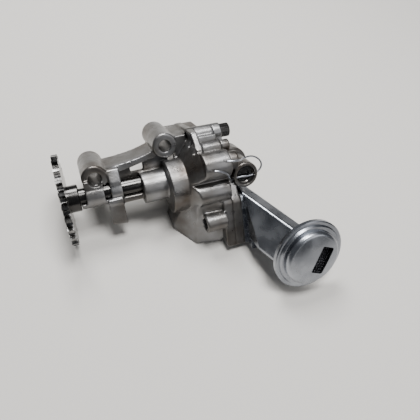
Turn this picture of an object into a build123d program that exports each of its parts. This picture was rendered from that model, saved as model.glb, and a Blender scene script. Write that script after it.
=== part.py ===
"""Chain driven engine oil pump with relief valve, box pickup duct and bell strainer, millimetres."""
import os
from math import acos, atan2, cos, degrees, pi, radians, sin, sqrt, tan

from build123d import *

os.makedirs("parts", exist_ok=True)

# Lean of the resting pump about its shaft, which lies level
LEAN = 28.0
AWAY = Vector(0, cos(radians(LEAN)), -sin(radians(LEAN)))
UP = Vector(0, sin(radians(LEAN)), cos(radians(LEAN)))

# Named clearances
RUN = 0.04
AIR = 0.35
SLIP = 0.03

# Drive line along the shaft
SHAFT_R = 6.0
SHAFT_START = -2.0
SPROCKET_TEETH = 23
CHAIN_PITCH = 8.0
ROLLER_R = 2.5
SPROCKET_TIP_R = 31.5
SPROCKET_THICK = 4.0
HUB_R = 9.4
HUB_END = 9.5

# Gears
TEETH = 12
MODULE = 2.0
PRESSURE = 25.0
GEAR_WIDE = 14.0
BACKLASH = 0.16
SIDE_GAP = 0.05
CENTRES = TEETH * MODULE
TIP_R = CENTRES / 2 + MODULE
ROOT_R = CENTRES / 2 - 1.25 * MODULE
IDLER_R = 4.5
IDLER_TURN = 245.7
IDLER_AT = (CENTRES * cos(radians(IDLER_TURN)), CENTRES * sin(radians(IDLER_TURN)))

# Stations along the shaft
NOSE_X = 9.9
FRONT_X = (13.5, 26.0)
WEB_X = (30.5, 38.5)
SNOUT_X = 52.5
BULGE_X = (70.0, 83.5)
FACE_X = 91.0
SPLIT_X = 110.0
POCKET_X = SPLIT_X - GEAR_WIDE - 2 * SIDE_GAP
COVER_THICK = 6.5
COVER_X = SPLIT_X + COVER_THICK

# Engine side
MOUNT_Y = 32.0
RING_Y = -3.0
BOSS_R = 9.0
BOLT_R = 4.3
SPOT_FACE_R = BOLT_R + 0.6
BOSS_AT = ((22.1, 12.2), (73.2, 25.6))
PORT_AT = (101.0, -9.2)
PORT_R = 5.0
PORT_DEEP = 15.0
PORT_DRILL_R = 4.0
PORT_BOSS_R = 9.0

# Bearings
BUSH_WALL = 1.2
BUSH_R = SHAFT_R + RUN + BUSH_WALL
BEARING_R = BUSH_R + 1.6
SNOUT_R = 11.3
SNOUT_AT = (-2.0, -2.3)
BULGE_R = 19.2
BULGE_AT = (-6.0, -4.0)
FLARE_R = 31.0
REAR_BUSH_X = 76.0

# Cover screws as (away, up) places on the split
SCREW_AT = ((-25.5, 14.5), (19.0, 11.0), (9.0, -22.8))
LUMP_AT = ((-25.5, 13.5), (-23.0, -7.2))
TOP_SCREW_AT = (4.0, 27.0)
SCREW_R = 3.0
SCREW_HEAD_R = 4.2
SCREW_HEAD = 3.5
TOP_HEAD_R = 5.0
TOP_HEAD = 7.0
SCREW_DEPTH = 12.0
DOWEL_AT = ((-12.5, 21.5), (17.5, -17.5))
DOWEL_R = 2.0
DOWEL_LONG = 9.0

# Relief valve, square to the shaft
VALVE_AT = (123.6, 1.0)
VALVE_MOUTH = -26.0
VALVE_STEP = 0.0
VALVE_BACK = 14.0
VALVE_R = 9.5
VALVE_BIG_R = 12.6
PISTON_R = 6.0
SEAT_Y = -1.0
FEED_R = 4.0
PISTON_LONG = 11.0
PISTON_WALL = 1.6
RELIEF_TRAVEL = 5.0
CAP_Y = (-22.4, -20.0)
PIN_Y = -23.4
WIRE_R = 0.65
SPRING_WIRE = 0.6
SPRING_R = 3.2
SPRING_TURNS = 7

# Cavities and drillings beside the gears, as (away, up)
IDLER_SEAT = 4.0
BUSH_DEEP = 5.3
INLET_POOL = (-13.1, -7.2)
OUTLET_POOL = (3.5, -14.7)
POOL_R = 5.5
FEED_PORT = (10.8, 1.0)
FEED_START = (7.5, -12.0)
FEED_END = 12.0
SPILL_Y = -4.0
MOUTH_R = 7.0
PIN_Z = -0.8
PICKUP_SCREW_AT = ((-11.5, -13.5), (-10.6, -34.0))
PICKUP_SCREW_R = 2.0
KNURLS = 24

# Tube boss beside the lower chamber
TUBE_AT = (-30.5, -27.2)
TUBE_X = (88.5, 104.0)
TUBE_R = 6.9
TUBE_BORE_R = 4.2
TUBE_DEEP = 7.0

# Arm, lug and rib
ARM_Y = (2.0, 24.0)
LUG_X = (27.2, 37.6)
LUG_Z = (-24.0, -3.2)
LUG_Y = (-8.4, -3.4)
FLOOR = -SPROCKET_TIP_R

# Inlet passage from the pickup to the gears, as (away, up)
INLET_AT = (-22.3, -28.5)
INLET_X = 103.0
INLET_TURN_AT = (-19.5, -16.0)
INLET_FOOT_AT = (-21.5, -34.0)
GASKET = 0.6

# Pickup
FLANGE_THICK = 2.0
SHEET = 1.2
DUCT_X = COVER_X + GASKET + FLANGE_THICK
DUCT_TALL = 31.0
DUCT_DEEP = 15.0
DUCT_CORNER = 2.4
PAD_CORNER = 4.0
PAD_FOOT = ((-30.5, -20.0), (-35.5, -49.0), (-22.0, -43.0))
DUCT_MOUTH_AT = (-22.5, -28.0)
DUCT_MOUTH_WIDE = 14.6
DUCT_MOUTH_DEEP = 8.0
DUCT_FOOT = ((-30.2, -14.0), (-43.0, -50.5), (-17.0, -42.5), (-17.0, -14.0))
DUCT_ELBOW_Y = -17.0
DUCT_END = ((137.7, -25.2), (151.0, -29.8), (140.5, -56.0), (126.1, -51.1))
DUCT_RUN = (-15.5, 35.3, 12.2)
DUCT_LONG = 90.0

# Strainer
BELL_AT = (146.2, -44.5)
BELL_FACE = -75.6
BELL_R = 26.0
RIM_DEEP = 3.2
STEP_R = 23.4
STEP_HIGH = 1.9
CROWN_R = 20.2
CROWN_HIGH = 6.0
SHOULDER = 3.0
DOME_HIGH = 1.0
DOME_FLAT_R = 4.0
WINDOW_AT = (6.1, -2.0)
WINDOW_LONG = 20.5
WINDOW_WIDE = 9.8
WINDOW_TURN = 64.0
MESH_THICK = 0.5


def across(x):
    """Plane square to the shaft, drawn in away and up"""
    return Plane(origin=(x, 0, 0), x_dir=AWAY, z_dir=(1, 0, 0))


def facing(y):
    """Plane square to the bosses, drawn in along and up, facing the viewer"""
    return Plane(origin=AWAY * y, x_dir=(1, 0, 0), z_dir=AWAY * -1)


def level(z):
    """Plane square to up, drawn in along and away"""
    return Plane(origin=UP * z, x_dir=(1, 0, 0), z_dir=UP)


def spot(x, y, z):
    """Point given along, away and up"""
    return Vector(x, 0, 0) + AWAY * y + UP * z


def save(piece, name):
    """Label a finished piece and write its file"""
    piece.part.label = name
    export_step(piece.part, f"parts/{name}.step")


def disc_at(places, radius):
    """Discs on the current sketch"""
    with Locations(*places):
        Circle(radius)


# Toothed parts


def involute_flank(base, top, half, steps=5):
    """Points of one flank from the base circle to the tip"""
    points = []
    lean_pitch = tan(radians(PRESSURE)) - radians(PRESSURE)
    for step in range(steps + 1):
        radius = base + (top - base) * step / steps
        roll = acos(min(1.0, base / radius))
        turn = half + lean_pitch - (tan(roll) - roll)
        points.append((radius, turn))
    return points


def gear_outline(phase):
    """Closed outline of a spur gear with involute flanks"""
    pitch_r = CENTRES / 2
    base = pitch_r * cos(radians(PRESSURE))
    half = (pi * MODULE / 2 - BACKLASH / 2) / pitch_r / 2
    flank = involute_flank(base, TIP_R, half)
    flank.insert(0, (ROOT_R, flank[0][1]))
    points = []
    for tooth in range(TEETH):
        middle = radians(phase) + 2 * pi * tooth / TEETH
        for radius, turn in flank:
            points.append((radius * cos(middle - turn), radius * sin(middle - turn)))
        for radius, turn in reversed(flank):
            points.append((radius * cos(middle + turn), radius * sin(middle + turn)))
    return points


def sprocket_gap():
    """Cuts one tooth gap at every chain roller"""
    pitch_r = CHAIN_PITCH / 2 / sin(pi / SPROCKET_TEETH)
    seat = ROLLER_R + 0.15
    with PolarLocations(0, SPROCKET_TEETH):
        with Locations((pitch_r, 0)):
            Circle(seat, mode=Mode.SUBTRACT)
        Polygon((pitch_r, -seat), (SPROCKET_TIP_R + 1, -seat - 0.9), (SPROCKET_TIP_R + 1, seat + 0.9),
                (pitch_r, seat), align=None, mode=Mode.SUBTRACT)


with BuildPart() as sprocket:
    with BuildSketch(across(-SPROCKET_THICK / 2)):
        Circle(SPROCKET_TIP_R)
        sprocket_gap()
        Circle(SHAFT_R, mode=Mode.SUBTRACT)
    extrude(amount=SPROCKET_THICK)
save(sprocket, "sprocket")

with BuildPart() as hub:
    with BuildSketch(across(SPROCKET_THICK / 2)):
        Circle(HUB_R)
        Circle(SHAFT_R, mode=Mode.SUBTRACT)
    extrude(amount=HUB_END - SPROCKET_THICK / 2)
    rim = hub.edges().filter_by(GeomType.CIRCLE).sort_by(SortBy.RADIUS)[-2:]
    chamfer(rim.sort_by(Axis.X)[-1], 0.6)
save(hub, "sprocket_hub")

with BuildPart() as shaft:
    with BuildSketch(across(SHAFT_START)):
        Circle(SHAFT_R)
    extrude(amount=COVER_X - 1.5 - SHAFT_START)
    chamfer(shaft.edges().filter_by(GeomType.CIRCLE), 0.6)
save(shaft, "drive_shaft")

with BuildPart() as drive_gear:
    with BuildSketch(across(POCKET_X + SIDE_GAP)):
        Polygon(*gear_outline(IDLER_TURN), align=None)
        Circle(SHAFT_R, mode=Mode.SUBTRACT)
    extrude(amount=GEAR_WIDE)
save(drive_gear, "drive_gear")

with BuildPart() as driven_gear:
    with BuildSketch(across(POCKET_X + SIDE_GAP)):
        with Locations(IDLER_AT):
            Polygon(*gear_outline(IDLER_TURN + 180 + 180 / TEETH), align=None)
            Circle(IDLER_R + RUN, mode=Mode.SUBTRACT)
    extrude(amount=GEAR_WIDE)
save(driven_gear, "driven_gear")

with BuildPart() as idler:
    with BuildSketch(across(POCKET_X - IDLER_SEAT)):
        disc_at([IDLER_AT], IDLER_R)
    extrude(amount=SPLIT_X + IDLER_SEAT - POCKET_X + IDLER_SEAT)
    chamfer(idler.edges().filter_by(GeomType.CIRCLE), 0.5)
save(idler, "idler_shaft")


# Bearings


def bush(start, end, name):
    """Plain bush for the drive shaft between two stations"""
    with BuildPart() as piece:
        with BuildSketch(across(start)):
            Circle(BUSH_R)
            Circle(SHAFT_R + RUN, mode=Mode.SUBTRACT)
        extrude(amount=end - start)
    save(piece, name)


bush(FRONT_X[0] + 0.3, FRONT_X[1] - 0.3, "front_bush")
bush(REAR_BUSH_X, POCKET_X - 0.4, "rear_bush")
bush(SPLIT_X + 0.3, SPLIT_X + BUSH_DEEP, "cover_bush")


# Body casting


def web_to(start, end, width):
    """Straight web between two sketch points"""
    run = Vector(*end) - Vector(*start)
    middle = (Vector(*start) + Vector(*end)) * 0.5
    with Locations((middle.X, middle.Y)):
        Rectangle(run.length, width, rotation=degrees(atan2(run.Y, run.X)))


def chamber_outline():
    """Outline round both gears, shared by the body and its cover"""
    with BuildSketch(mode=Mode.PRIVATE) as hull:
        Circle(TIP_R + 5)
        disc_at([IDLER_AT], TIP_R + 2.4)
        make_hull()
    add(hull.sketch)
    disc_at(SCREW_AT[1:], 6.6)
    disc_at([TOP_SCREW_AT], 6.2)
    disc_at(DOWEL_AT, 4.2)
    web_to((0, 0), TOP_SCREW_AT, 11)
    web_to((0, 0), SCREW_AT[1], 13)
    web_to(IDLER_AT, SCREW_AT[2], 12)
    web_to((0, 0), DOWEL_AT[0], 8)
    web_to((0, 0), DOWEL_AT[1], 8)


def housing_outline():
    """Outline of the gear housing on the current sketch"""
    chamber_outline()
    disc_at(LUMP_AT[:1], 9.6)
    disc_at(LUMP_AT[1:], 8.8)
    web_to((0, 0), LUMP_AT[0], 20)
    web_to((0, 0), LUMP_AT[1], 16)
    web_to((0, 0), TOP_SCREW_AT, 22)


def pad_outline(tall, deep, corner):
    """Pad round the inlet opening"""
    with Locations(INLET_AT):
        RectangleRounded(deep, tall, corner)


def pad_foot():
    """Corner of the pad that reaches down to the viewer"""
    Polygon(*PAD_FOOT, align=None)


def inlet_outline():
    """Outline round the inlet passage at the split"""
    with BuildSketch(mode=Mode.PRIVATE) as hull:
        pad_outline(DUCT_TALL + 3.0, DUCT_DEEP + 3.0, PAD_CORNER + 1.0)
        pad_foot()
        disc_at([INLET_POOL], POOL_R + 4)
        make_hull()
    add(hull.sketch)


with BuildPart() as flare:
    # Sloping front wall between the bulge and the housing
    with BuildSketch(across(BULGE_X[1] - 1)):
        housing_outline()
    extrude(amount=FACE_X - BULGE_X[1] + 1)
    with BuildSketch(across(BULGE_X[1] - 1)):
        disc_at([BULGE_AT], BULGE_R + 0.5)
    with BuildSketch(across(FACE_X)):
        disc_at([BULGE_AT], FLARE_R)
    loft(mode=Mode.INTERSECT)


def shaft_supports():
    """Outrigger bearing, middle web, lug and rib"""
    with BuildPart() as piece:
        with BuildSketch(across(FRONT_X[0])):
            Circle(BEARING_R)
            with Locations((1, 6)):
                Rectangle(2 * BEARING_R - 3, 12)
        extrude(amount=FRONT_X[1] - FRONT_X[0])
        with BuildSketch(across(NOSE_X)):
            Circle(BEARING_R)
            with Locations((0, BEARING_R - 3)):
                Rectangle(4 * BEARING_R, 2 * BEARING_R, mode=Mode.SUBTRACT)
        extrude(amount=FRONT_X[0] - NOSE_X)
        with BuildSketch(across(WEB_X[0])):
            Circle(BEARING_R - 0.8)
            Polygon((-6.4, -2), (7, -2), (16, 12), (16, 16), (-2, 16), (-6.4, 8), align=None)
        extrude(amount=WEB_X[1] - WEB_X[0])
        # Lug with a raised ledge
        with BuildSketch(facing(LUG_Y[1])):
            Polygon((LUG_X[0], LUG_Z[1]), (LUG_X[1], LUG_Z[1]), (LUG_X[1] + 0.4, LUG_Z[0]),
                    (LUG_X[0] + 0.2, LUG_Z[0] + 1.2), align=None)
        extrude(amount=LUG_Y[1] - LUG_Y[0])
        with BuildSketch(facing(LUG_Y[0])):
            Polygon((LUG_X[0], LUG_Z[1]), (LUG_X[1], LUG_Z[1]), (LUG_X[1] + 0.2, LUG_Z[1] - 4.5),
                    (LUG_X[0], LUG_Z[1] - 3.6), align=None)
        extrude(amount=1.2)
        # Rib with two edges below the shaft
        with BuildSketch(across(WEB_X[1] - 1)):
            with Locations((-5.4, -6.2)):
                Rectangle(4.4, 4.2)
        extrude(amount=SNOUT_X - WEB_X[1] + 2)
    return piece.part


def arm():
    """Curved arm that joins the two bolt bosses"""
    with BuildPart() as piece:
        with BuildSketch(facing(ARM_Y[1])):
            with BuildLine():
                Spline((22, 16.0), (34, 16.4), (50, 18.2), (66, 22.6))
                Line((66, 22.6), (72, 18))
                Spline((72, 18), (60, 16.0), (44, 12.4), (30, 11.3))
                Line((30, 11.3), (22, 9))
                Line((22, 9), (22, 16.0))
            make_face()
        extrude(amount=ARM_Y[1] - ARM_Y[0])
        # Thin web under the arm with its open window
        with BuildSketch(facing(9.0)):
            Polygon((30, 12), (38, -4), (76, -4), (76, 20), align=None)
            with Locations((52.2, 11.6)):
                Rectangle(9.0, 7.0, mode=Mode.SUBTRACT)
        extrude(amount=3.4)
    return piece.part


def low_block():
    """Foot of the gear chamber with the slanting front wall"""
    with BuildPart() as piece:
        foot = [(70.2, -23.4), (83.1, -42.0), (102.0, -45.0), (107.0, -40.0), (107.0, 4.0),
                (76.0, 4.0), (70.2, -8.0)]
        upper = [(82.0, -19.0), (84.6, -31.0), (103.0, -33.0), (107.0, -30.0), (107.0, 4.0),
                 (86.0, 4.0), (83.0, -6.0)]
        with BuildSketch(Plane.XY.offset(FLOOR)):
            Polygon(*foot, align=None)
        with BuildSketch(Plane.XY.offset(FLOOR + 33.0)):
            Polygon(*upper, align=None)
        loft()
    return piece.part


def bolt_bosses():
    """Two round bosses with a bevelled rim"""
    with BuildPart() as piece:
        with BuildSketch(facing(MOUNT_Y)):
            disc_at(BOSS_AT, BOSS_R)
        extrude(amount=MOUNT_Y - RING_Y)
        rims = piece.edges().filter_by(GeomType.CIRCLE)
        chamfer([rim for rim in rims if rim.center().dot(AWAY) < RING_Y + 1], 0.9)
    return piece.part


def tube_boss():
    """Round boss of the open tube end"""
    with BuildPart() as piece:
        with BuildSketch(across(TUBE_X[0])):
            disc_at([TUBE_AT], TUBE_R)
        extrude(amount=TUBE_X[1] - TUBE_X[0])
        chamfer(piece.edges().filter_by(GeomType.CIRCLE).sort_by(Axis.X)[0], 0.6)
    return piece.part


def rods(places, radius, start, end):
    """Round bars along the shaft line, for holes"""
    with BuildPart() as piece:
        with BuildSketch(across(start)):
            disc_at(places, radius)
        extrude(amount=end - start)
    return piece.part


with BuildPart() as body:
    # Gear housing from the face to the split
    with BuildSketch(across(FACE_X)) as outline:
        housing_outline()
    extrude(amount=SPLIT_X - FACE_X)
    add(flare.part)
    with BuildSketch(across(INLET_X)):
        inlet_outline()
    extrude(amount=SPLIT_X - INLET_X)
    # Flange plate with the bright top edge
    with BuildSketch(across(FACE_X)):
        Polygon((-17.5, 23.3), (-7.8, 33.2), (10, 32.6), (MOUNT_Y, 30), (MOUNT_Y, 4), (0, -10), (-26, 4),
                align=None)
    extrude(amount=4.5)
    # Engine side block
    with BuildSketch(facing(MOUNT_Y)):
        Polygon((78, 29.5), (104, 29.5), (109, 20), (109, -12), (90, -12), (80, 6), align=None)
    extrude(amount=MOUNT_Y - 2)
    # Rear bulge and snout round the shaft
    with BuildSketch(across(BULGE_X[0])):
        disc_at([BULGE_AT], BULGE_R)
    extrude(amount=FACE_X - BULGE_X[0] + 1)
    with BuildSketch(across(SNOUT_X)):
        disc_at([SNOUT_AT], SNOUT_R)
        with Locations((SNOUT_AT[0], SNOUT_AT[1] + 1.5 * SNOUT_R + 1.0)):
            Rectangle(2 * SNOUT_R, SNOUT_R, mode=Mode.SUBTRACT)
    extrude(amount=BULGE_X[0] - SNOUT_X + 1)
    # Bolt bosses
    add(bolt_bosses())
    # Outlet boss
    with BuildSketch(facing(MOUNT_Y)):
        disc_at([PORT_AT], PORT_BOSS_R)
    extrude(amount=MOUNT_Y - 4)
    # Tube boss
    add(tube_boss())
    add(arm())
    add(shaft_supports())
    add(low_block())
    # Shaft line
    add(rods([(0, 0)], SHAFT_R + AIR, NOSE_X - 1, POCKET_X + 1), mode=Mode.SUBTRACT)
    add(rods([(0, 0)], BUSH_R, FRONT_X[0], FRONT_X[1] + 1), mode=Mode.SUBTRACT)
    add(rods([(0, 0)], BUSH_R, REAR_BUSH_X, POCKET_X + 1), mode=Mode.SUBTRACT)
    # Gear pockets and idler seat
    add(rods([(0, 0), IDLER_AT], TIP_R + SIDE_GAP, POCKET_X, SPLIT_X), mode=Mode.SUBTRACT)
    add(rods([IDLER_AT], IDLER_R, POCKET_X - IDLER_SEAT, POCKET_X), mode=Mode.SUBTRACT)
    # Inlet and discharge cavities beside the mesh
    add(rods([INLET_POOL, OUTLET_POOL], POOL_R, POCKET_X, SPLIT_X), mode=Mode.SUBTRACT)
    with BuildSketch(across(INLET_X + 2.5)):
        web_to(INLET_FOOT_AT, INLET_TURN_AT, 8)
        web_to(INLET_TURN_AT, INLET_POOL, 8)
    extrude(amount=SPLIT_X - INLET_X - 2.5, mode=Mode.SUBTRACT)
    with BuildSketch(facing(MOUNT_Y)):
        disc_at([PORT_AT], PORT_R)
    extrude(amount=PORT_DEEP, mode=Mode.SUBTRACT)
    with BuildSketch(facing(MOUNT_Y)):
        disc_at([PORT_AT], PORT_DRILL_R)
    extrude(amount=MOUNT_Y - 8.5, mode=Mode.SUBTRACT)
    # Bolt, screw, dowel and tube holes
    with BuildSketch(facing(MOUNT_Y)):
        disc_at(BOSS_AT, BOLT_R)
    extrude(amount=MOUNT_Y - RING_Y, mode=Mode.SUBTRACT)
    with BuildSketch(facing(RING_Y)):
        disc_at(BOSS_AT, SPOT_FACE_R)
    extrude(amount=BEARING_R, mode=Mode.SUBTRACT)
    add(rods(SCREW_AT, SCREW_R, SPLIT_X - SCREW_DEPTH - 1, SPLIT_X), mode=Mode.SUBTRACT)
    add(rods([TOP_SCREW_AT], SCREW_R, FACE_X - 1, SPLIT_X), mode=Mode.SUBTRACT)
    add(rods(DOWEL_AT, DOWEL_R, SPLIT_X - DOWEL_LONG / 2, SPLIT_X), mode=Mode.SUBTRACT)
    add(rods([TUBE_AT], TUBE_BORE_R, TUBE_X[0], TUBE_X[0] + TUBE_DEEP), mode=Mode.SUBTRACT)
    add(rods(LUMP_AT[1:], 1.8, FACE_X - 8, FACE_X), mode=Mode.SUBTRACT)
save(body, "pump_body")


# Cover with the relief valve housing


def valve_bar(radius, near, far):
    """Round bar along the relief valve's own line"""
    with BuildPart() as piece:
        with BuildSketch(facing(far)):
            disc_at([VALVE_AT], radius)
        extrude(amount=far - near)
    return piece.part


def valve_housing():
    """Stepped round housing with a bevelled mouth"""
    with BuildPart() as piece:
        add(valve_bar(VALVE_R, VALVE_MOUTH, VALVE_STEP + 1))
        rims = piece.edges().filter_by(GeomType.CIRCLE)
        chamfer([rim for rim in rims if rim.center().dot(AWAY) < VALVE_MOUTH + 1], 0.5)
        add(valve_bar(VALVE_BIG_R, VALVE_STEP, VALVE_BACK))
    return piece.part


with BuildPart() as cover:
    with BuildSketch(across(SPLIT_X)):
        chamber_outline()
        disc_at(SCREW_AT[:1], 6.4)
        web_to((0, 0), SCREW_AT[0], 12)
        inlet_outline()
    extrude(amount=COVER_THICK)
    with BuildSketch(across(SPLIT_X)):
        pad_outline(DUCT_TALL + 3.0, DUCT_DEEP + 3.0, PAD_CORNER + 1.0)
        pad_foot()
        disc_at(PICKUP_SCREW_AT, 4.6)
    extrude(amount=COVER_THICK)
    add(valve_housing())
    # Keep the valve housing off the gears and off the body
    with BuildSketch(across(SPLIT_X - 10)):
        Rectangle(120, 120)
    extrude(amount=10, mode=Mode.SUBTRACT)
    # Valve bore, feed and spill
    add(valve_bar(MOUTH_R, VALVE_MOUTH, CAP_Y[0]), mode=Mode.SUBTRACT)
    add(valve_bar(PISTON_R + SLIP, CAP_Y[0], SEAT_Y), mode=Mode.SUBTRACT)
    add(valve_bar(FEED_R, SEAT_Y, FEED_END), mode=Mode.SUBTRACT)
    add(rods([FEED_PORT], 2.2, SPLIT_X, VALVE_AT[0]), mode=Mode.SUBTRACT)
    with BuildSketch(across(SPLIT_X)):
        web_to(FEED_PORT, FEED_START, 3.6)
    extrude(amount=2.4, mode=Mode.SUBTRACT)
    with BuildSketch(level(VALVE_AT[1] - 20)):
        with Locations((VALVE_AT[0], SPILL_Y)):
            Circle(1.8)
    extrude(amount=20, mode=Mode.SUBTRACT)
    add(rods([(0, 0)], BUSH_R, SPLIT_X, SPLIT_X + BUSH_DEEP), mode=Mode.SUBTRACT)
    add(rods([IDLER_AT], IDLER_R, SPLIT_X, SPLIT_X + IDLER_SEAT), mode=Mode.SUBTRACT)
    add(rods(DOWEL_AT, DOWEL_R, SPLIT_X, SPLIT_X + DOWEL_LONG / 2), mode=Mode.SUBTRACT)
    add(rods(SCREW_AT, SCREW_R + 0.4, SPLIT_X, COVER_X), mode=Mode.SUBTRACT)
    add(rods(SCREW_AT, SCREW_HEAD_R + 0.4, COVER_X - SCREW_HEAD - 0.2, COVER_X), mode=Mode.SUBTRACT)
    add(rods([TOP_SCREW_AT], SCREW_R + 0.4, SPLIT_X, COVER_X), mode=Mode.SUBTRACT)
    add(rods(PICKUP_SCREW_AT, PICKUP_SCREW_R, COVER_X - 5, COVER_X), mode=Mode.SUBTRACT)
    with BuildSketch(across(SPLIT_X)):
        pad_outline(DUCT_TALL - 4.0, DUCT_DEEP - 5.0, DUCT_CORNER)
    extrude(amount=COVER_THICK, mode=Mode.SUBTRACT)
    # Holes for the retaining pin
    with BuildSketch(across(VALVE_AT[0] - VALVE_R - 1)):
        with Locations((PIN_Y, PIN_Z)):
            Circle(WIRE_R + 1.1)
    extrude(amount=2 * VALVE_R + 2, mode=Mode.SUBTRACT)
save(cover, "pump_cover")

# Relief valve parts

with BuildPart() as piston:
    add(valve_bar(PISTON_R, SEAT_Y - PISTON_LONG, SEAT_Y))
    add(valve_bar(PISTON_R - PISTON_WALL, SEAT_Y - PISTON_LONG, SEAT_Y - PISTON_WALL), mode=Mode.SUBTRACT)
save(piston, "relief_piston")

with BuildPart() as cap:
    add(valve_bar(PISTON_R, CAP_Y[0], CAP_Y[1]))
    add(valve_bar(PISTON_R - 2.2, CAP_Y[0], CAP_Y[0] + 1.0), mode=Mode.SUBTRACT)
save(cap, "spring_cap")

with BuildPart() as spring:
    spring_end = SEAT_Y - PISTON_WALL - SPRING_WIRE - 0.05
    spring_start = CAP_Y[1] + SPRING_WIRE + 0.05
    spring_tall = spring_end - spring_start
    with BuildLine():
        coil = Helix(pitch=spring_tall / SPRING_TURNS, height=spring_tall, radius=SPRING_R,
                     center=spot(VALVE_AT[0], spring_start, VALVE_AT[1]), direction=AWAY)
    with BuildSketch(Plane(origin=coil @ 0, z_dir=coil % 0)):
        RegularPolygon(SPRING_WIRE, 8)
    sweep(is_frenet=True)
save(spring, "relief_spring")

with BuildPart() as pin:
    left = VALVE_AT[0] - VALVE_R
    right = VALVE_AT[0] + VALVE_R
    route = [(96.4, -36.9, 14.2), (107.0, -34.6, 7.0), (left - 2.0, -26.2, -0.1), (left + 2.4, PIN_Y, PIN_Z),
             (VALVE_AT[0], PIN_Y, PIN_Z), (right - 2.4, PIN_Y, PIN_Z), (right + 4.0, PIN_Y, 4.6),
             (right - 2.0, PIN_Y - 0.6, 13.0), (121.0, -27.6, 14.8), (116.4, -33.9, 16.8), (106.1, -35.6, 18.8)]
    with BuildLine():
        wire = Spline(*[spot(*point) for point in route])
    with BuildSketch(Plane(origin=wire @ 0, z_dir=wire % 0)):
        RegularPolygon(WIRE_R, 8)
    sweep()
save(pin, "retaining_pin")

# Fasteners


def cap_screw(place, head_x, head_r, head_tall, tip_x, shank_r):
    """Socket head screw along the shaft line"""
    with BuildPart() as piece:
        with BuildSketch(across(head_x)):
            disc_at([place], head_r)
        extrude(amount=head_tall)
        chamfer(piece.edges().filter_by(GeomType.CIRCLE).sort_by(Axis.X)[-1], 0.4)
        with BuildSketch(across(head_x + head_tall)):
            with Locations(place):
                RegularPolygon(head_r * 0.5, 6)
        extrude(amount=-head_tall * 0.55, mode=Mode.SUBTRACT)
        with BuildSketch(across(tip_x)):
            disc_at([place], shank_r)
        extrude(amount=head_x - tip_x)
    return piece.part


with BuildPart() as screws:
    for place in SCREW_AT:
        add(cap_screw(place, COVER_X - SCREW_HEAD, SCREW_HEAD_R, SCREW_HEAD, SPLIT_X - SCREW_DEPTH, SCREW_R))
save(screws, "cover_screws")

with BuildPart() as top_screw:
    add(cap_screw(TOP_SCREW_AT, COVER_X, TOP_HEAD_R, TOP_HEAD, FACE_X + 0.6, SCREW_R))
    # Knurled rim
    with BuildSketch(across(COVER_X)):
        with Locations(TOP_SCREW_AT):
            with PolarLocations(TOP_HEAD_R + 0.15, KNURLS):
                Circle(0.4)
    extrude(amount=TOP_HEAD - 0.6, mode=Mode.SUBTRACT)
save(top_screw, "top_screw")

with BuildPart() as dowels:
    with BuildSketch(across(SPLIT_X - DOWEL_LONG / 2)):
        disc_at(DOWEL_AT, DOWEL_R)
    extrude(amount=DOWEL_LONG)
save(dowels, "dowel_pins")

with BuildPart() as pickup_screws:
    for place in PICKUP_SCREW_AT:
        add(cap_screw(place, DUCT_X, 3.5, 2.6, COVER_X - 4.5, PICKUP_SCREW_R))
save(pickup_screws, "pickup_screws")


# Pickup


def pickup_plate(start, thick, name, hole_r):
    """Flat plate between the cover and the duct"""
    with BuildPart() as piece:
        with BuildSketch(across(start)):
            pad_outline(DUCT_TALL + 2.4, DUCT_DEEP + 2.4, PAD_CORNER + 1.0)
            pad_foot()
            disc_at(PICKUP_SCREW_AT, 4.4)
            with Locations(INLET_AT):
                RectangleRounded(DUCT_DEEP - 2 * SHEET, DUCT_TALL - 2 * SHEET, PAD_CORNER - SHEET,
                                 mode=Mode.SUBTRACT)
            disc_cut(PICKUP_SCREW_AT, hole_r)
        extrude(amount=thick)
    save(piece, name)


def disc_cut(places, radius):
    """Round openings in the current sketch"""
    with Locations(*places):
        Circle(radius, mode=Mode.SUBTRACT)


pickup_plate(COVER_X, GASKET, "pickup_gasket", PICKUP_SCREW_R + 0.3)
pickup_plate(COVER_X + GASKET, FLANGE_THICK, "pickup_flange", PICKUP_SCREW_R + 0.3)

BACK_Y = BELL_FACE + RIM_DEEP


def duct_end(wall):
    """Slanting four sided end of the duct, inset by the sheet"""
    with BuildSketch(facing(BACK_Y)) as piece:
        Polygon(*DUCT_END, align=None)
        fillet(piece.vertices(), DUCT_CORNER)
        if wall:
            offset(amount=-wall, mode=Mode.REPLACE)
    return piece.sketch


def duct_box(wall):
    """Filled shape of the duct, inset by the sheet and open at both ends"""
    with BuildPart() as piece:
        add(duct_end(wall))
        extrude(amount=DUCT_LONG, dir=spot(*DUCT_RUN).normalized())
        # Ends flat on the flange and square behind the elbow
        with BuildSketch(Plane.YZ.offset(DUCT_X + wall)):
            Rectangle(600, 600)
        extrude(amount=-90, mode=Mode.SUBTRACT)
        with BuildSketch(facing(DUCT_ELBOW_Y - wall)):
            Rectangle(600, 600)
        extrude(amount=-90, mode=Mode.SUBTRACT)
        # Mouth over the flange's opening
        with BuildSketch(across(DUCT_X)):
            with Locations(DUCT_MOUTH_AT):
                RectangleRounded(DUCT_MOUTH_WIDE - 2 * wall, DUCT_TALL - 2 * wall, DUCT_CORNER - wall)
        extrude(amount=DUCT_MOUTH_DEEP - wall)
        # Low corner beside the mouth
        with BuildSketch(across(DUCT_X + wall)):
            Polygon(*DUCT_FOOT, align=None)
            if wall:
                offset(amount=-wall, mode=Mode.REPLACE)
        extrude(amount=DUCT_MOUTH_DEEP - 2 * wall)
    return piece.part


with BuildPart() as duct:
    add(duct_box(0.0))
    add(duct_box(SHEET), mode=Mode.SUBTRACT)
save(duct, "pickup_duct")

# Strainer

BELL_LINE = Axis(spot(BELL_AT[0], 0, BELL_AT[1]), AWAY)

CROWN_Y = BELL_FACE - CROWN_HIGH


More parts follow.
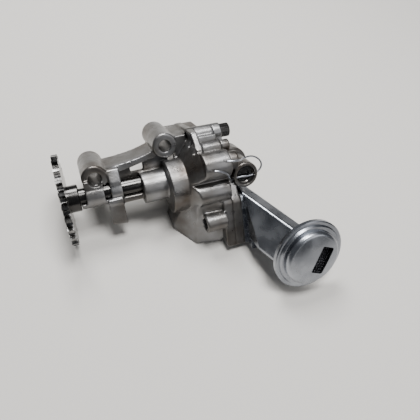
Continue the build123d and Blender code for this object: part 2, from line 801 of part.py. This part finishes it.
def bell_solid(wall):
    """Filled turned shape of the strainer, inset by the sheet"""
    centre = BELL_AT[0]
    crown = CROWN_Y + wall
    edge = centre + CROWN_R - SHOULDER - wall
    start = centre + DOME_FLAT_R
    ball = ((edge - start) ** 2 + DOME_HIGH ** 2) / (2 * DOME_HIGH)
    half = (edge - start) / 2
    slant = SHOULDER / sqrt(2)
    with BuildPart() as piece:
        with BuildSketch(level(BELL_AT[1])):
            with BuildLine():
                Line((centre, crown - DOME_HIGH), (start, crown - DOME_HIGH))
                ThreePointArc((start, crown - DOME_HIGH),
                              (start + half, crown - DOME_HIGH + ball - sqrt(ball ** 2 - half ** 2)), (edge, crown))
                ThreePointArc((edge, crown), (edge + slant, crown + SHOULDER - slant),
                              (edge + SHOULDER, crown + SHOULDER))
                Polyline((edge + SHOULDER, crown + SHOULDER), (edge + SHOULDER, BELL_FACE - STEP_HIGH + wall),
                         (centre + STEP_R - 0.8 - wall, BELL_FACE - STEP_HIGH + wall),
                         (centre + STEP_R - wall, BELL_FACE + wall), (centre + BELL_R - 0.8 - wall, BELL_FACE + wall),
                         (centre + BELL_R - wall, BELL_FACE + 0.6 + wall), (centre + BELL_R - wall, BACK_Y),
                         (centre, BACK_Y), (centre, crown - DOME_HIGH))
            make_face()
        revolve(axis=BELL_LINE)
    return piece.part


def window_bar():
    """Slanting bar that opens the strainer's window"""
    with BuildPart() as piece:
        with BuildSketch(facing(CROWN_Y - DOME_HIGH - 1)):
            with Locations((BELL_AT[0] + WINDOW_AT[0], BELL_AT[1] + WINDOW_AT[1])):
                RectangleRounded(WINDOW_LONG, WINDOW_WIDE, 1.5, rotation=WINDOW_TURN)
        extrude(amount=-CROWN_HIGH)
    return piece.part


with BuildPart() as bell:
    add(bell_solid(0.0))
    add(bell_solid(SHEET), mode=Mode.SUBTRACT)
    add(window_bar(), mode=Mode.SUBTRACT)
save(bell, "strainer_bell")

with BuildPart() as mesh:
    with BuildSketch(facing(CROWN_Y + SHOULDER + SHEET)):
        disc_at([BELL_AT], CROWN_R - SHEET - 0.2)
    extrude(amount=MESH_THICK)
save(mesh, "strainer_mesh")

with BuildPart() as back:
    with BuildSketch(facing(BACK_Y)):
        disc_at([BELL_AT], BELL_R - SHEET)
        add(duct_end(SHEET), mode=Mode.SUBTRACT)
    extrude(amount=SHEET)
save(back, "strainer_back")
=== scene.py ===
# %% [markdown]
# # An engine oil pump
#
# This lesson dresses a chain driven oil pump as it lies on a pale table. The solids come
# from the CAD model, so every size is already right. What is left to learn is how cast
# metal, machined steel, pressed sheet and woven wire catch the light, and how a few small
# pieces that repeat are made with Geometry Nodes.

# %% Load the pump
import math

import bmesh
import bpy
from mathutils import Matrix, Vector


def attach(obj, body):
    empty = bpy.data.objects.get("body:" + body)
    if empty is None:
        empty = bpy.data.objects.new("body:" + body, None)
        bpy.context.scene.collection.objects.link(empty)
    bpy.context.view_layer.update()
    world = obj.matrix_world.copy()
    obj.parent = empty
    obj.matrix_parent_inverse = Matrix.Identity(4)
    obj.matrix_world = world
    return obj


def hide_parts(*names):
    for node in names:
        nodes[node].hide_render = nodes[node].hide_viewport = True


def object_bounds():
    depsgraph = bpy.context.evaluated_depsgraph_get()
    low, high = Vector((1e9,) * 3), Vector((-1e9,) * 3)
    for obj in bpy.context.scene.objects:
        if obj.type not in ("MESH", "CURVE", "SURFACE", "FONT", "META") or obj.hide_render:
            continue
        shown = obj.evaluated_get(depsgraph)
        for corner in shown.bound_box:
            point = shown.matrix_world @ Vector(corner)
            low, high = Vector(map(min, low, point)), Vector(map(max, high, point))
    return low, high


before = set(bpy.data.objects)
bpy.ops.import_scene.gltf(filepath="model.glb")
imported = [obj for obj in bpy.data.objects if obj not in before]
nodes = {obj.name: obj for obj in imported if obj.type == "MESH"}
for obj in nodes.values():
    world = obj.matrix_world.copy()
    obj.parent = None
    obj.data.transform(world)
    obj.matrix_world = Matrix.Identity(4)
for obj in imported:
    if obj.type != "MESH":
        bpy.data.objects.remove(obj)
cad_box = [[float(v) for v in corner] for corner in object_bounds()]
MM = 0.001
print("nodes", len(nodes), "box", cad_box)

# %% [markdown]
# ## Where things are
#
# The pump lies with its shaft level, along X. Its bolt holes lean 28 degrees below the
# table's plane on the far side. Three short vectors turn the maker's own directions
# (along the shaft, away to the engine, up) into the scene's metres.

# %% The maker's directions
LEAN = math.radians(28.0)
ALONG = Vector((1.0, 0.0, 0.0))
AWAY = Vector((0.0, math.cos(LEAN), -math.sin(LEAN)))
UP = Vector((0.0, math.sin(LEAN), math.cos(LEAN)))
FLOOR_Z = cad_box[0][2]


def spot(x, y, z):
    """Point in metres from millimetres along, away and up"""
    return (ALONG * x + AWAY * y + UP * z) * MM


print("sprocket centre", tuple(spot(0, 0, 0)))

# %% [markdown]
# ## Helpers for finishes
#
# Every finish is a small node tree. One function adds a node with its settings and its
# links, so a finish reads as a list of what feeds what. Colours are written as the hex
# values a paint chart would give, and one function turns them into the linear numbers
# that the shader works in.

# %% Colour and node helpers


def linear(hex_colour):
    """Linear RGBA from an sRGB hex colour"""
    parts = [int(hex_colour[i:i + 2], 16) / 255 for i in (1, 3, 5)]
    return tuple([p / 12.92 if p <= 0.04045 else ((p + 0.055) / 1.055) ** 2.4 for p in parts] + [1.0])


def add_node(tree, kind, links=(), **settings):
    """One node with its settings and what feeds its inputs"""
    node = tree.nodes.new(kind)
    for key, value in settings.items():
        if hasattr(node, key):
            setattr(node, key, value)
        else:
            node.inputs[key.replace("_", " ")].default_value = value
    for source, target in links:
        tree.links.new(source, node.inputs[target])
    return node


def new_finish(name, hex_colour, metallic, roughness):
    """A named material with its shader, ready for a pattern"""
    finish = bpy.data.materials.new(name)
    finish.use_nodes = True
    shader = finish.node_tree.nodes["Principled BSDF"]
    shader.inputs["Base Color"].default_value = linear(hex_colour)
    shader.inputs["Metallic"].default_value = metallic
    shader.inputs["Roughness"].default_value = roughness
    return finish, finish.node_tree, shader


def noise_at(tree, size_mm, detail=3.0, stretch=(1, 1, 1)):
    """Noise whose grains are size_mm across, on Object coordinates"""
    place = add_node(tree, "ShaderNodeTexCoord")
    turn = add_node(tree, "ShaderNodeMapping", [(place.outputs["Object"], "Vector")])
    turn.inputs["Scale"].default_value = stretch
    return add_node(tree, "ShaderNodeTexNoise", [(turn.outputs["Vector"], "Vector")],
                    Scale=1 / (size_mm * MM), Detail=detail)


def ramp_from(tree, source, stops):
    """Colour ramp from a list of (place, hex colour)"""
    ramp = add_node(tree, "ShaderNodeValToRGB", [(source, "Fac")])
    marks = ramp.color_ramp.elements
    while len(marks) < len(stops):
        marks.new(0.5)
    for mark, (place, colour) in zip(marks, stops):
        mark.position = place
        mark.color = linear(colour)
    return ramp


def range_from(tree, source, low, high, start=0.3, end=0.7):
    """Value between low and high as the source goes from start to end"""
    node = add_node(tree, "ShaderNodeMapRange", [(source, "Value")])
    for socket, value in (("From Min", start), ("From Max", end), ("To Min", low), ("To Max", high)):
        node.inputs[socket].default_value = value
    return node


def bump_from(tree, shader, source, height_mm, strength=0.5):
    """Fine relief of the surface from a pattern"""
    bump = add_node(tree, "ShaderNodeBump", [(source, "Height")], Strength=strength, Distance=height_mm * MM)
    tree.links.new(bump.outputs["Normal"], shader.inputs["Normal"])
    return bump


print("grey #808080 is", round(linear("#808080")[0], 4))

# %% [markdown]
# ## Cast aluminium
#
# The body and the cover are die cast aluminium alloy that has spent its life in hot oil.
# A die casting has a fine skin, so the grain is small, about half a millimetre, and the
# broad tone changes where old oil has stained it brown. The stain is a slow noise, the
# grain a quick one that only lifts the surface a little.

# %% Die cast aluminium, stained by oil
cast_metal, tree, shader = new_finish("die_cast_aluminium_oil_stained", "#6f6d6b", 0.9, 0.36)
stain = noise_at(tree, 22.0, 3.0)
tone = ramp_from(tree, stain.outputs["Fac"], [(0.30, "#4f4842"), (0.50, "#6b6967"), (0.70, "#868687")])
tree.links.new(tone.outputs["Color"], shader.inputs["Base Color"])
patch = noise_at(tree, 6.0, 4.0)
wet = range_from(tree, patch.outputs["Fac"], 0.26, 0.44)
tree.links.new(wet.outputs["Result"], shader.inputs["Roughness"])
# Grain of 0.5 mm would be finer than a pixel, so it is drawn at 1.2 mm
grain = noise_at(tree, 1.2, 5.0)
bump_from(tree, shader, grain.outputs["Fac"], 0.22, 0.5)
print(cast_metal.name)

# %% [markdown]
# ## Steels
#
# The sprocket, gears and pins are machined and hardened steel, bare and oily. The hub and
# the shaft are darker, because an oxide film stays on ground steel that runs hot. Zinc
# plated steel on the small screws and the bent wire is paler and slightly blue.

# %% Machined steel, dark ground steel and zinc plate
steel, tree, shader = new_finish("hardened_machined_steel", "#8a8987", 1.0, 0.30)
smear = noise_at(tree, 5.0, 3.0)
tone = ramp_from(tree, smear.outputs["Fac"], [(0.35, "#4c4b4a"), (0.65, "#8d8c8b")])
tree.links.new(tone.outputs["Color"], shader.inputs["Base Color"])
gloss = range_from(tree, smear.outputs["Fac"], 0.16, 0.30)
tree.links.new(gloss.outputs["Result"], shader.inputs["Roughness"])

dark_steel, tree, shader = new_finish("ground_steel_dark_oxide", "#434241", 1.0, 0.2)
# Wear bands run round the shaft, so the noise changes along it and hardly round it
marks = noise_at(tree, 6.0, 1.0, stretch=(1.0, 0.05, 0.05))
gloss = range_from(tree, marks.outputs["Fac"], 0.16, 0.26)
tree.links.new(gloss.outputs["Result"], shader.inputs["Roughness"])

zinc_steel, tree, shader = new_finish("zinc_plated_steel", "#a3a6ad", 1.0, 0.32)
bronze, tree, shader = new_finish("sintered_bearing_bronze", "#9c7b48", 1.0, 0.40)
print(steel.name, dark_steel.name, zinc_steel.name, bronze.name)

# %% [markdown]
# ## Pressed sheet
#
# The pickup duct and the strainer are pressed from cold rolled steel sheet about a
# millimetre thick. Rolled sheet is smooth and mirrors softly, with a cool grey tone, and
# the duct's flat sides show drawing marks and a thin film of oil.

# %% Cold rolled sheet, pressed
pressed_sheet, tree, shader = new_finish("cold_rolled_sheet_steel", "#8f9097", 1.0, 0.34)
film = noise_at(tree, 14.0, 2.5)
tone = ramp_from(tree, film.outputs["Fac"], [(0.32, "#7d8086"), (0.68, "#a2a5ab")])
tree.links.new(tone.outputs["Color"], shader.inputs["Base Color"])
gloss = range_from(tree, film.outputs["Fac"], 0.22, 0.32)
tree.links.new(gloss.outputs["Result"], shader.inputs["Roughness"])
pressing = noise_at(tree, 4.0, 1.0)
bump_from(tree, shader, pressing.outputs["Fac"], 0.08, 0.25)

gasket_fibre, tree, shader = new_finish("pressed_fibre_gasket", "#2c2b29", 0.0, 0.85)
mesh_wire, tree, shader = new_finish("blackened_steel_wire", "#4a4a4e", 0.95, 0.35)
print(pressed_sheet.name, gasket_fibre.name, mesh_wire.name)

# %% [markdown]
# ## Giving each piece its finish
#
# Each CAD node gets one material. A short table keeps it plain which piece is made of what.

# %% Dress the CAD nodes
FINISH_OF = {
    cast_metal: ["pump_body", "pump_cover"],
    steel: ["sprocket", "drive_gear", "driven_gear", "idler_shaft", "relief_piston", "relief_spring", "dowel_pins"],
    dark_steel: ["sprocket_hub", "drive_shaft", "spring_cap", "top_screw"],
    zinc_steel: ["retaining_pin", "cover_screws", "pickup_screws"],
    bronze: ["front_bush", "rear_bush", "cover_bush"],
    pressed_sheet: ["pickup_flange", "pickup_duct", "strainer_bell", "strainer_back"],
    gasket_fibre: ["pickup_gasket"],
    mesh_wire: ["strainer_mesh"],
}


def dress(piece, finish):
    """Give a piece one finish all over"""
    piece.data.materials.clear()
    piece.data.materials.append(finish)


for finish, names in FINISH_OF.items():
    for name in names:
        dress(nodes[name], finish)
print("dressed", sum(len(names) for names in FINISH_OF.values()))

# %% [markdown]
# ## Soft edges on the castings
#
# A die casting has no sharp edge: the metal has to leave the die, so every corner is
# rounded and every joint between two forms has a fillet. The CAD solid is made of crisp
# forms, so a copy of it is turned into an even skin of small squares with a Remesh
# modifier and relaxed with a Smooth modifier. Bevelling edge by edge was the other way,
# but a bevel can't fill the inner corners, and those fillets are what makes it look cast.

# %% Round the castings
SKIN_MM = 0.55
RELAX = {"pump_body": 5, "pump_cover": 4}
TRIANGLES = 150000


def merged_copy(node, name):
    """Copy of a CAD node with its loose triangles joined"""
    piece = node.copy()
    piece.data = node.data.copy()
    piece.name = name
    bpy.context.scene.collection.objects.link(piece)
    shape = bmesh.new()
    shape.from_mesh(piece.data)
    bmesh.ops.remove_doubles(shape, verts=shape.verts, dist=1e-6)
    shape.to_mesh(piece.data)
    shape.free()
    return piece


def settle(piece):
    """Turn the live modifiers into plain mesh"""
    ready = piece.evaluated_get(bpy.context.evaluated_depsgraph_get())
    mesh = bpy.data.meshes.new_from_object(ready)
    piece.modifiers.clear()
    piece.data = mesh
    return len(mesh.polygons)


def soften(name):
    """Rounded copy of a casting"""
    piece = merged_copy(nodes[name], name + "_cast")
    skin = piece.modifiers.new("skin", "REMESH")
    skin.mode = "VOXEL"
    skin.voxel_size = SKIN_MM * MM
    relax = piece.modifiers.new("relax", "SMOOTH")
    relax.factor = 0.5
    relax.iterations = RELAX[name]
    count = settle(piece)
    if 2 * count > TRIANGLES:
        thin = piece.modifiers.new("thin", "DECIMATE")
        thin.ratio = TRIANGLES / (2 * count)
        count = settle(piece)
    for face in piece.data.polygons:
        face.use_smooth = True
    dress(piece, cast_metal)
    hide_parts(name)
    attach(piece, "housing")
    return count


for name in RELAX:
    print(name, "faces", soften(name))

# %% [markdown]
# ## Woven mesh in the strainer
#
# The strainer's window shows a plain weave of dark wire. A weave follows a rule: each wire
# is a wave that goes over one neighbour and under the next, and the wires that cross it are
# half a wave out. That makes it right for Geometry Nodes: one tree draws one set of wires
# on a disc, and a second object with its angle turned draws the other set.

# %% A tree for one set of wires
PITCH_MM = 1.5
WIRE_MM = 0.24
MESH_R_MM = 18.2


def weave_tree():
    """Geometry Nodes tree: waved wires side by side on a round disc"""
    tree = bpy.data.node_groups.new("weave", "GeometryNodeTree")
    for title, kind in (("Pitch", "NodeSocketFloat"), ("Wire radius", "NodeSocketFloat"),
                        ("Disc radius", "NodeSocketFloat"), ("Phase", "NodeSocketFloat"),
                        ("Finish", "NodeSocketMaterial")):
        tree.interface.new_socket(title, in_out="INPUT", socket_type=kind)
    tree.interface.new_socket("Geometry", in_out="OUTPUT", socket_type="NodeSocketGeometry")
    given = add_node(tree, "NodeGroupInput")
    pitch, wire_r, disc_r, phase = (given.outputs[i] for i in range(4))

    def calc(operation, *values):
        """One sum on numbers or sockets"""
        node = add_node(tree, "ShaderNodeMath", operation=operation)
        for slot, value in enumerate(values):
            if isinstance(value, (int, float)):
                node.inputs[slot].default_value = value
            else:
                tree.links.new(value, node.inputs[slot])
        return node.outputs[0]

    # A grid whose rows are the wires and whose columns are the steps along each wire
    across_count = calc("ADD", calc("FLOOR", calc("DIVIDE", calc("MULTIPLY", disc_r, 2.0), pitch)), 1.0)
    half = calc("MULTIPLY", calc("MULTIPLY", calc("SUBTRACT", across_count, 1.0), pitch), 0.5)
    line = add_node(tree, "GeometryNodeMeshLine", [(across_count, "Count")], mode="OFFSET")
    start = add_node(tree, "ShaderNodeCombineXYZ", [(calc("MULTIPLY", half, -1.0), "Y")])
    step = add_node(tree, "ShaderNodeCombineXYZ", [(pitch, "Y")])
    tree.links.new(start.outputs[0], line.inputs["Start Location"])
    tree.links.new(step.outputs[0], line.inputs["Offset"])
    # One wire of unit length, stretched to its chord of the disc
    wire = add_node(tree, "GeometryNodeCurvePrimitiveLine")
    wire.inputs["Start"].default_value = (-1.0, 0.0, 0.0)
    wire.inputs["End"].default_value = (1.0, 0.0, 0.0)
    fine = add_node(tree, "GeometryNodeResampleCurve", [(wire.outputs[0], "Curve")])
    fine.inputs["Count"].default_value = 97
    place = add_node(tree, "GeometryNodeInputPosition")
    parts = add_node(tree, "ShaderNodeSeparateXYZ", [(place.outputs[0], "Vector")])
    chord = calc("SQRT", calc("MAXIMUM", calc("SUBTRACT", calc("MULTIPLY", disc_r, disc_r),
                                              calc("MULTIPLY", parts.outputs["Y"], parts.outputs["Y"])), 1e-9))
    scale = add_node(tree, "ShaderNodeCombineXYZ", [(chord, "X")])
    scale.inputs["Y"].default_value = 1.0
    scale.inputs["Z"].default_value = 1.0
    rows = add_node(tree, "GeometryNodeInstanceOnPoints",
                    [(line.outputs[0], "Points"), (fine.outputs[0], "Instance"), (scale.outputs[0], "Scale")])
    loose = add_node(tree, "GeometryNodeRealizeInstances", [(rows.outputs[0], "Geometry")])
    # The wave: up and down by one wire radius, half a turn out from row to row
    place = add_node(tree, "GeometryNodeInputPosition")
    parts = add_node(tree, "ShaderNodeSeparateXYZ", [(place.outputs[0], "Vector")])
    row = calc("ROUND", calc("DIVIDE", calc("ADD", parts.outputs["Y"], half), pitch))
    turn = calc("ADD", calc("MULTIPLY", calc("DIVIDE", calc("ADD", parts.outputs["X"], half), pitch), math.pi),
                calc("MULTIPLY", calc("ADD", row, phase), math.pi))
    lift = add_node(tree, "ShaderNodeCombineXYZ", [(calc("MULTIPLY", calc("COSINE", turn), wire_r), "Z")])
    waved = add_node(tree, "GeometryNodeSetPosition",
                     [(loose.outputs[0], "Geometry"), (lift.outputs[0], "Offset")])
    ring = add_node(tree, "GeometryNodeCurvePrimitiveCircle", [(wire_r, "Radius")])
    ring.inputs["Resolution"].default_value = 5
    tube = add_node(tree, "GeometryNodeCurveToMesh",
                    [(waved.outputs[0], "Curve"), (ring.outputs[0], "Profile Curve")])
    tube.inputs["Fill Caps"].default_value = True
    real = add_node(tree, "GeometryNodeRealizeInstances", [(tube.outputs[0], "Geometry")])
    painted = add_node(tree, "GeometryNodeSetMaterial",
                       [(real.outputs[0], "Geometry"), (given.outputs["Finish"], "Material")])
    add_node(tree, "NodeGroupOutput", [(painted.outputs[0], "Geometry")])
    return tree


def grown(name, tree, values):
    """Object made by a tree with its inputs set, as plain mesh"""
    piece = bpy.data.objects.new(name, bpy.data.meshes.new(name))
    bpy.context.scene.collection.objects.link(piece)
    grow = piece.modifiers.new("grow", "NODES")
    grow.node_group = tree
    for item in tree.interface.items_tree:
        if item.in_out == "INPUT" and item.name in values:
            grow[item.identifier] = values[item.name]
    settle(piece)
    return piece


weave = weave_tree()
print("tree inputs", [i.name for i in weave.interface.items_tree if i.in_out == "INPUT"])

# %% Lay both sets of wires in the strainer
BELL_X, BELL_Z = 146.2, -44.5
MESH_Y = -77.65


def lay_on_strainer(piece, angle):
    """Turn a flat disc of wires to face out of the strainer"""
    facing = Matrix((ALONG, UP, -AWAY)).transposed().to_4x4()
    place = Matrix.Translation(spot(BELL_X, MESH_Y, BELL_Z)) @ facing @ Matrix.Rotation(angle, 4, "Z")
    piece.data.transform(place)


sets = []
for number, angle in enumerate((0.35, 0.35 + math.pi / 2)):
    wires = grown(f"wires_{number}", weave, {"Pitch": PITCH_MM * MM, "Wire radius": WIRE_MM * MM,
                                             "Disc radius": MESH_R_MM * MM, "Phase": float(number),
                                             "Finish": mesh_wire})
    lay_on_strainer(wires, angle)
    sets.append(wires)
mesh_piece = sets[0]
joined = bmesh.new()
for wires in sets:
    joined.from_mesh(wires.data)
joined.to_mesh(mesh_piece.data)
joined.free()
bpy.data.objects.remove(sets[1])
mesh_piece.name = "strainer_weave"
dress(mesh_piece, mesh_wire)
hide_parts("strainer_mesh")
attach(mesh_piece, "housing")
print("weave faces", len(mesh_piece.data.polygons))

# %% [markdown]
# ## Table and light
#
# The table is a plain pale sheet. In the photograph the soft light comes from behind and
# above, so the shadow falls towards the viewer. One large lamp behind, one weak one in
# front and a pale world give that.

# %% Table
floor_mesh = bpy.data.meshes.new("table")
SIDE = 2.5
floor_mesh.from_pydata([(-SIDE, -SIDE, FLOOR_Z), (SIDE, -SIDE, FLOOR_Z), (SIDE, SIDE, FLOOR_Z),
                        (-SIDE, SIDE, FLOOR_Z)], [], [(0, 1, 2, 3)])
floor = bpy.data.objects.new("table", floor_mesh)
bpy.context.scene.collection.objects.link(floor)
paper, tree, shader = new_finish("pale_matte_paper", "#c9c6c1", 0.0, 0.9)
dress(floor, paper)
print("table at", FLOOR_Z)

# %% Lamps


def lamp(name, place, target, watts, size):
    """Square soft lamp that looks at a point"""
    light = bpy.data.lights.new(name, "AREA")
    light.energy = watts
    light.size = size
    holder = bpy.data.objects.new(name, light)
    holder.location = place
    holder.rotation_euler = (Vector(target) - Vector(place)).to_track_quat("-Z", "Y").to_euler()
    bpy.context.scene.collection.objects.link(holder)
    return holder


MIDDLE = (0.085, -0.02, -0.01)
lamp("window_behind", (0.05, 0.62, 0.95), MIDDLE, 15.0, 0.4)
lamp("ceiling", (0.22, -0.02, 1.1), MIDDLE, 15.0, 0.35)
lamp("room_in_front", (0.55, -0.7, 0.6), MIDDLE, 2.5, 0.7)
world = bpy.data.worlds.new("room")
world.use_nodes = True
world.node_tree.nodes["Background"].inputs["Color"].default_value = linear("#c4c8cf")
world.node_tree.nodes["Background"].inputs["Strength"].default_value = 0.22
bpy.context.scene.world = world
print("lamps", len(bpy.data.lights))

# %% [markdown]
# ## Camera
#
# The camera's place, turn and lens were worked out from the pump's own known points, so
# the render lines up with the photograph.

# %% Camera at the photograph's angle
camera_data = bpy.data.cameras.new("camera")
camera_data.sensor_width = 36.0
camera_data.lens = 34.27
camera_data.clip_start = 0.005
camera = bpy.data.objects.new("camera", camera_data)
right = Vector((0.9316, -0.3487, 0.1027))
upward = Vector((0.2313, 0.7866, 0.5726))
backward = right.cross(upward)
turn = Matrix((right, upward, backward)).transposed().to_4x4()
camera.matrix_world = Matrix.Translation((0.0139, -0.1785, 0.2283)) @ turn
bpy.context.scene.collection.objects.link(camera)
bpy.context.scene.camera = camera
print("camera at", tuple(round(v, 4) for v in camera.location))
